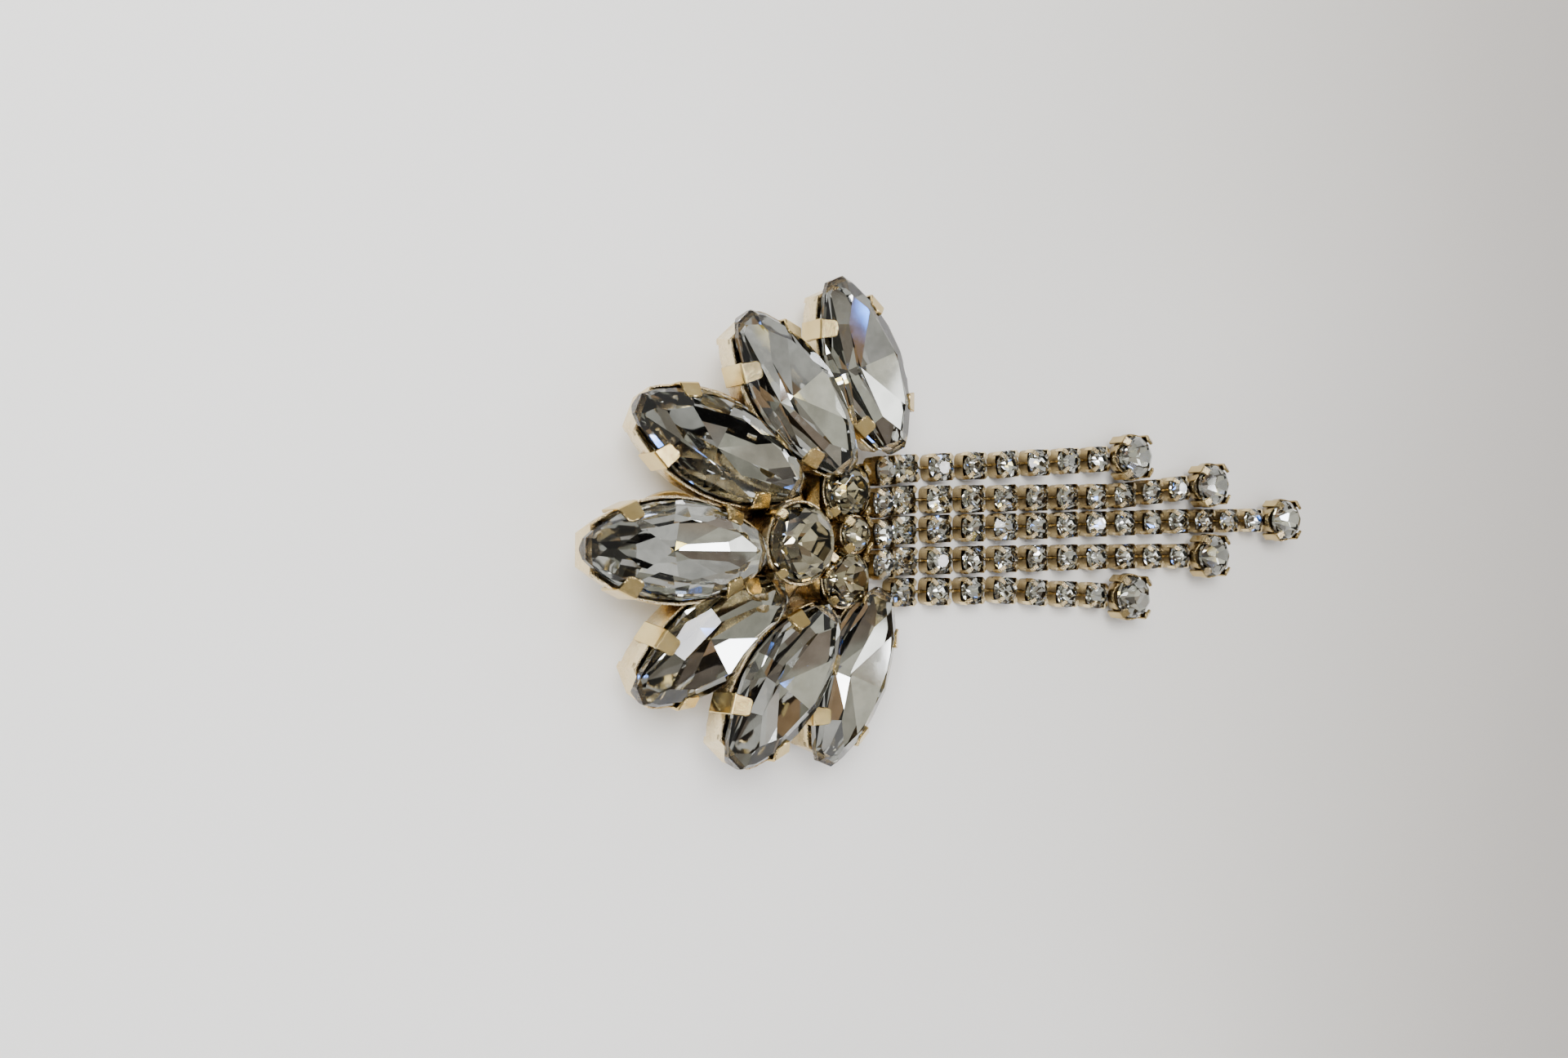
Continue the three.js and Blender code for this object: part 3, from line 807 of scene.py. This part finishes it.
# %% Prongs
def prong(width, thick, foot, rise, lean, reach, tip_share=0.8, bend=4):
    """A tab in the X-Z plane: outside is +X, and the tip leans towards -X."""
    bm = bmesh.new()
    bmesh.ops.create_cube(bm, size=1.0)
    bmesh.ops.scale(bm, verts=bm.verts, vec=(thick, width, foot + rise))
    bmesh.ops.translate(bm, verts=bm.verts, vec=(RIM + thick / 2 - 0.08, 0, (rise - foot) / 2))
    top = [f for f in bm.faces if f.normal.z > 0.9]
    geom = top + [e for f in top for e in f.edges] + [v for f in top for v in f.verts]
    fold = Vector((RIM - 0.18, 0, rise))
    end = bmesh.ops.spin(bm, geom=geom, cent=fold, axis=(0, -1, 0), angle=radians(lean),
                         steps=bend, use_merge=False)["geom_last"]
    face = [f for f in end if isinstance(f, bmesh.types.BMFace)]
    geom = bmesh.ops.extrude_face_region(bm, geom=face)["geom"]
    verts = [v for v in geom if isinstance(v, bmesh.types.BMVert)]
    along = Vector((-math.sin(radians(lean)), 0, math.cos(radians(lean)))) * reach
    bmesh.ops.translate(bm, verts=verts, vec=along)
    bmesh.ops.scale(bm, verts=verts, vec=(1, tip_share, 1))
    bmesh.ops.recalc_face_normals(bm, faces=bm.faces)
    return bm, verts


def tab_prong(width, thick, foot, rise, lean, reach, kind=0):
    bm, verts = prong(width, thick, foot, rise, lean, reach)
    corners = [e for e in bm.edges if e.verts[0] in verts and e.verts[1] in verts
               and abs(e.verts[0].co.y - e.verts[1].co.y) < 1e-4]
    soften(bm, corners, 0.16 * width, 2)
    sharp = [e for e in bm.edges if e.is_manifold and e.calc_face_angle(0) > radians(40)]
    soften(bm, sharp, 0.2 * thick, 1)
    for face in bm.faces:
        face.smooth = True
        face.material_index = kind
    return as_pattern(bm, "prong_tab")


# Kind 1 is the tabs' plating with its painted shade.
wide_tab = tab_prong(1.55, 0.26, 2.2, 0.22, 54, 1.25, kind=1)
small_tab = tab_prong(0.8, 0.24, 1.1, 0.12, 50, 0.62, kind=1)
print("a wide prong has", len(wide_tab.polygons), "faces")

# %% [markdown]
# Four prongs hold each navette, a little less than a quarter of its length in from the tips.
# One is left out, where two stones lie so close that no tab could pass between them.

# %% The fan setting: boats and prongs
setting = bmesh.new()


def prong_spots(heading_share):
    """Places on the outline for the four prongs, as point and outward angle."""
    length, width = NAVETTE["length"], NAVETTE["width"]
    bow = (length ** 2 + width ** 2) / (4 * width)
    half = math.asin(length / 2 / bow)
    spots = []
    for side, share in ((0, 1), (0, -1), (1, 1), (1, -1)):
        angle = half * heading_share * share
        x = bow * math.sin(angle)
        y = bow * math.cos(angle) - (bow - width / 2)
        turn = 90 - math.degrees(angle)
        if side:
            x, y, turn = -x, -y, turn + 180
        spots.append((x, y, turn))
    return spots


def riser(height):
    """A low block that lifts a raised boat off the plates below it."""
    bm = bmesh.new()
    outline = navette_outline(bm, 12.5, 5.2, -height / 2, steps=12)
    blank_from(bm, outline, height + 0.3)
    return as_pattern(bm, "riser")


boat = as_pattern(navette_boat(BOAT_DEPTH), "boat")
end_wall = boat_end(BOAT_DEPTH)
for number, row in enumerate(fan_rows, 1):
    raised = row[3] * NAVETTE["crown"]
    stamp(setting, boat, FAN @ fan_place(*row))
    for turn in (0, 180):
        stamp(setting, end_wall, FAN @ fan_place(*row) @ place(0, 0, 0, turn))
    if raised > 0.2:
        stamp(setting, riser(raised),
              FAN @ fan_place(*row) @ place(0, 0, -BOAT_DEPTH - raised / 2))
    for spot, (x, y, turn) in enumerate(prong_spots(0.50)):
        if number == 1 and spot == 2:
            continue
        stamp(setting, wide_tab, FAN @ fan_place(*row) @ place(x, y, 0, turn))
print("boats and prongs:", len(setting.faces), "faces")

# %% [markdown]
# The round stones sit in cups made the same way, from a circle, with four small tabs each.

# %% Round cups of the hub
def round_cup(diameter, depth, foot, rim=-0.16, scallop=0.0):
    bm = bmesh.new()
    wide = diameter + 2 * RIM - 0.2
    ring = bmesh.ops.create_circle(bm, cap_ends=False, segments=32, radius=wide * foot / 2,
                                   matrix=Matrix.Translation((0, 0, -depth)))["verts"]
    loop = list({e for v in ring for e in v.link_edges})
    bmesh.ops.contextual_create(bm, geom=loop)
    inner = (wide - 2 * WALL) / wide
    last = raise_wall(bm, loop, [
        (-0.7, 1 / foot, 1 / foot),
        (rim, 1, 1),
        (rim, inner, inner),
        (-0.7, 1, 1),
        (-depth + WALL, foot, foot),
    ])
    bmesh.ops.contextual_create(bm, geom=last)
    bmesh.ops.recalc_face_normals(bm, faces=bm.faces)
    soften(bm, edges_at(bm, -depth), 0.25, 3)
    soften(bm, edges_at(bm, rim), 0.07, 2)
    for vert in bm.verts:
        if vert.co.z > -0.75:
            angle = math.atan2(vert.co.y, vert.co.x)
            vert.co.z -= scallop * math.cos(2 * angle) ** 2
    for face in bm.faces:
        face.smooth = True
    return as_pattern(bm, "round_cup")


for name, diameter, along, across, raise_share, turn in hub_rows:
    raised = raise_share * HUB_STONE
    where = FAN @ hub_place(along, across, raise_share)
    stamp(setting, round_cup(diameter, BOAT_DEPTH + raised, 0.80), where)
    for k in range(4):
        stamp(setting, small_tab, where @ place(0, 0, 0, 45 + 90 * k) @ place(diameter / 2, 0, 0))

# %% [markdown]
# Everything of the fan is soldered to a back plate. A smaller plate closes the middle, a
# box with smooth walls carries the two shoulder stones and the small one between them, and
# a bar behind ties the two outermost boats to the rest. Each has softly rolled edges.

# %% Plates of the fan
def plate(length, width, low, high, roll):
    bm = bmesh.new()
    bmesh.ops.create_cone(bm, cap_ends=True, cap_tris=False, segments=48, radius1=0.5,
                          radius2=0.5, depth=high - low)
    bmesh.ops.scale(bm, verts=bm.verts, vec=(length, width, 1))
    bmesh.ops.translate(bm, verts=bm.verts, vec=(0, 0, (high + low) / 2))
    soften(bm, edges_at(bm, high) + edges_at(bm, low), roll, 4)
    for face in bm.faces:
        face.smooth = True
    return as_pattern(bm, "plate")


def bar(length, width, height, roll, segments=2):
    bm = bmesh.new()
    bmesh.ops.create_cube(bm, size=1.0)
    bmesh.ops.scale(bm, verts=bm.verts, vec=(length, width, height))
    soften(bm, bm.edges[:], roll, segments)
    for face in bm.faces:
        face.smooth = True
    return as_pattern(bm, "bar")


stamp(setting, plate(15, 14, -3.55, -2.65, 0.25), FAN @ place(HUB.x + 1.4, HUB.y, 0))
stamp(setting, plate(9.4, 12, -BOAT_DEPTH, -1.9, 0.5),
      FAN @ place(HUB.x - 0.8, HUB.y + 0.5, 0))


def gallery(length, width, height):
    """A tray with smooth walls: a rolled box, hollowed from the top."""
    bm = bmesh.new()
    bmesh.ops.create_cube(bm, size=1.0)
    bmesh.ops.scale(bm, verts=bm.verts, vec=(length, width, height))
    upright = [e for e in bm.edges if abs(e.verts[0].co.z - e.verts[1].co.z) > 0.5]
    soften(bm, upright, 0.9, 4)
    top = [f for f in bm.faces if f.normal.z > 0.9]
    bmesh.ops.inset_region(bm, faces=top, thickness=0.28)
    floor = max((f for f in bm.faces if f.normal.z > 0.9), key=lambda f: f.calc_area())
    bmesh.ops.translate(bm, verts=floor.verts, vec=(0, 0, -height + 0.4))
    for face in bm.faces:
        face.smooth = True
    return as_pattern(bm, "gallery")


stamp(setting, gallery(5.1, 10.8, 2.7), FAN @ place(HUB.x + 5.75, HUB.y + 0.62, -1.62))
stamp(setting, bar(1.8, 18, 0.9, 0.2),
      FAN @ place(HUB.x + 1.3 * HUB_STONE, HUB.y + 1.3, -3.1))
finish_piece("fan_setting", setting, [champagne, shaded_tab_plating], "gold", "fan_mount")

# %% [markdown]
# Cup chain is made by the metre: square cups with a prong at each corner, joined by short
# pins. A box with rolled corners is the cup; insetting its top and pushing it down makes the
# hollow for the pointed back of the stone. The brass is the first material of a chain, so
# the two materials of its stones move up by one.

# %% One cup of the chain
CUP_WIDTH = 2.40
CUP_LENGTH = 2.54
CUP_HEIGHT = 1.34
CHAIN_STONE = 2.46


def chain_cup():
    bm = bmesh.new()
    bmesh.ops.create_cube(bm, size=1.0)
    bmesh.ops.scale(bm, verts=bm.verts, vec=(CUP_LENGTH, CUP_WIDTH, CUP_HEIGHT))
    bmesh.ops.translate(bm, verts=bm.verts, vec=(0, 0, CUP_HEIGHT / 2))
    upright = [e for e in bm.edges if abs(e.verts[0].co.z - e.verts[1].co.z) > 0.5]
    soften(bm, upright, 0.62, 3)
    top = [f for f in bm.faces if f.normal.z > 0.9]
    bmesh.ops.inset_region(bm, faces=top, thickness=0.09)
    top = [f for f in bm.faces if f.normal.z > 0.9 and len(f.verts) > 4]
    bmesh.ops.translate(bm, verts=top[0].verts, vec=(0, 0, -0.95))
    soften(bm, edges_at(bm, 0.0), 0.12, 1)
    for face in bm.faces:
        face.smooth = True
    return as_pattern(bm, "chain_cup")


def claw():
    """A small tab on the corner of a chain cup, folded over the stone."""
    bm, _ = prong(0.42, 0.12, 0.60, 0.16, 60, 0.56, bend=2)
    for face in bm.faces:
        face.smooth = True
        # The claws get the pale plating, not the darker chain brass of their cup, though both are
        # one sheet: a painted highlight on the claws.
        face.material_index = 3
    return as_pattern(bm, "claw")


cup_pattern = chain_cup()
claw_pattern = claw()
chain_stone = cut_chaton(CHAIN_STONE, sides=16, girdle=0.16, crown=0.20, pavilion=0.36,
                         fine=False, top=36)
for face in chain_stone.polygons:
    face.material_index += 1
print("cup, claw and stone:", len(cup_pattern.polygons), len(claw_pattern.polygons),
      len(chain_stone.polygons), "faces")

# %% [markdown]
# The chains lie on the table in gentle curves, with every cup a step further along its
# route. The first cup of four of them hangs from the fan, so it is raised and sloped. Loose
# chain never lies dead straight: each cup is turned by up to 2.5 degrees and its stone tipped
# by up to 6, with random numbers from a fixed seed, so that it comes out the same every time.

# %% Routes of the chains
PITCH = 3.76
CUP_TURN = 2.5
STONE_TIP = 6
chain_rows = [
    (8, 1.4, [(7.7, 4.82), (11, 5.15), (21.8, 5.8), (33.9, 6.65)]),
    (11, 1.4, [(7.5, 2.18), (10.9, 2.48), (36, 3.15), (44.4, 4)]),
    (14, 1.4, [(7.5, -0.4), (10.9, -0.1), (44.5, 0.77), (55.7, 0.9)]),
    (11, 1.4, [(7.5, -2.95), (10.9, -2.75), (32.9, -2.65), (44, -2.7)]),
    (7, 0.0, [(10.9, -5.4), (21.8, -5.5), (29.1, -6.05), (32.4, -6.25)]),
]
chance = random.Random(11)


def along_route(route, distance):
    """The point at a distance along straight pieces, and the way they head there."""
    left = distance
    for i in range(len(route) - 1):
        start, end = Vector(route[i]), Vector(route[i + 1])
        length = (end - start).length
        if left <= length or i + 2 == len(route):
            spot = start.lerp(end, left / length) if left >= 0 else start + (
                end - start) * (left / length)
            heading = math.degrees(math.atan2(end.y - start.y, end.x - start.x))
            return spot.x, spot.y, heading
        left -= length


def link_between(bm, start, end, far=CUP_LENGTH / 2):
    """A short pin from the wall of one cup to the wall of the next, under neither stone."""
    gap = end - start
    way = gap.normalized()
    tail = start + way * (CUP_LENGTH / 2 - 0.12)
    head = end - way * (far - 0.12)
    pin = bar((head - tail).length, 0.30, 0.36, 0.08, 1)
    middle = (tail + head) / 2
    stamp(bm, pin, place(middle.x, middle.y, middle.z + 0.70,
                         math.degrees(math.atan2(gap.y, gap.x)),
                         math.degrees(math.atan2(gap.z, math.hypot(gap.x, gap.y)))))


# %% [markdown]
# Each chain ends in a 4 mm stone in a coned setting. Its wall is cut away in arches between
# the four prongs, as on a crown, so that light comes in from the side.

# %% End settings
END = 4.0
END_HEIGHT = 2.4
END_GAP = 0.3
SOLID_CUP = 2.32
end_cup = round_cup(END, END_HEIGHT, 0.62, rim=-0.05, scallop=0.45)
end_tab = tab_prong(0.85, 0.28, 1.3, 0.12, 50, 0.66)
end_stone = cut_chaton(END, crown=0.23)


def build_chain(number, stones, root_rise, route):
    metal = bmesh.new()
    before = None
    first_step = math.sqrt(PITCH ** 2 - root_rise ** 2)
    distance = 0.0
    for i in range(stones):
        x, y, heading = along_route(route, distance)
        z = root_rise if i == 0 else 0.0
        slope = -math.degrees(math.asin(root_rise / PITCH)) * 0.8 if i == 0 else 0.0
        wobble = chance.uniform(-CUP_TURN, CUP_TURN)
        where = place(x, y, z, heading + wobble, slope)
        stamp(metal, cup_pattern, where)
        for k in range(4):
            stamp(metal, claw_pattern, where @ place(0, 0, CUP_HEIGHT, 45 + 90 * k)
                  @ place(CHAIN_STONE / 2 - 0.14, 0, 0.20))
        tip = Matrix.Rotation(
            radians(chance.uniform(-STONE_TIP, STONE_TIP)), 4, "X") @ Matrix.Rotation(
            radians(chance.uniform(-STONE_TIP, STONE_TIP)), 4, "Y")
        seat = place(0, 0, CUP_HEIGHT + 0.12, chance.uniform(0, 45))
        stamp(metal, chain_stone, where @ seat @ tip)
        here = Vector((x, y, z))
        if before is None and root_rise == 0:
            start = along_route(route, -PITCH * 0.8)
            before = Vector((start[0], start[1], 0))
        if before is not None:
            link_between(metal, before, here)
        before = here
        distance += first_step if i == 0 else PITCH
    step = SOLID_CUP / 2 + END_GAP + END / 2 + OUT
    x, y, heading = along_route(route, distance - PITCH + step)
    end = Vector((x, y, 0))
    link_between(metal, before, end, END * 0.36)
    where = place(x, y, END_HEIGHT, heading)
    stamp(metal, end_cup, where)
    for k in range(4):
        stamp(metal, end_tab, where @ place(0, 0, 0, 45 + 90 * k) @ place(END / 2, 0, 0))
    finish_piece(f"cup_chain_{number}", metal, [chain_brass, crystal, foil, champagne],
                 "chain", f"chain_{number}")
    jewel = bmesh.new()
    stamp(jewel, end_stone, where @ place(0, 0, 0, chance.uniform(0, 45)))
    finish_piece(f"cut_end_stone_{number}", jewel, [crystal, foil], "crystal",
                 f"end_stone_{number}")


for number, row in enumerate(chain_rows, 1):
    build_chain(number, *row)

# %% [markdown]
# Underneath is the clip: a leaf soldered to the back plate, a knuckle it turns in, and a
# paddle that ends in a round pad. It is one plain closed piece here, dressed with rolled
# edges so that it catches the light as bent sheet does.

# %% Ear clip
CLIP_LENGTH = 13
CLIP_WIDTH = 5
CLIP_LEAF = 0.6
CLIP_PADDLE = 0.8
CLIP_PAD = 8
BACK_PLATE = 0.6
CLEARANCE = 0.15


def ear_clip():
    bm = bmesh.new()
    knuckle_x = HUB.x + 1.2
    tilt = radians(FAN_TILT)
    leaf_top = -BOAT_DEPTH - BACK_PLATE - CLEARANCE
    leaf_length = CLIP_LENGTH * 0.6
    along = (knuckle_x + 0.3 - leaf_top * math.sin(tilt)) / math.cos(tilt)
    stamp(bm, bar(leaf_length, CLIP_WIDTH, CLIP_LEAF, 0.15), FAN @ place(
        along - leaf_length / 2, HUB.y, leaf_top - CLIP_LEAF / 2))
    knuckle_top = HUB_RISE - along * math.sin(tilt) + leaf_top * math.cos(tilt)
    paddle = CLIP_LENGTH - CLIP_PAD / 2
    stamp(bm, bar(paddle, CLIP_WIDTH, CLIP_PADDLE, 0.2),
          place(knuckle_x - paddle / 2, HUB.y, CLIP_PADDLE / 2))
    stamp(bm, plate(CLIP_PAD, CLIP_PAD, 0.0, CLIP_PADDLE, 0.22),
          place(knuckle_x - paddle, HUB.y, 0))
    upright = Matrix.Rotation(radians(90), 4, "X")
    barrel = plate(knuckle_top, knuckle_top, -0.83, 0.83, 0.08)
    for shift in (-1.67, 0.0, 1.67):
        stamp(bm, barrel, place(knuckle_x, HUB.y + shift, knuckle_top / 2) @ upright)
    finish_piece("closed_clip", bm, [champagne], "gold", "ear_clip")


ear_clip()

# %% [markdown]
# Last, the dressed earring is measured against the plain solids, and both boxes are kept.

# %% Sizes
new_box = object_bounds()
for axis, low, high, was_low, was_high in zip("XYZ", *new_box, *cad_box):
    print(axis, "grew by", round((was_low - low) * 1000, 3), "and",
          round((high - was_high) * 1000, 3), "mm")
faces = sum(len(o.data.polygons) for o in scene.objects if o.type == "MESH")
print("the whole scene has", faces, "faces")
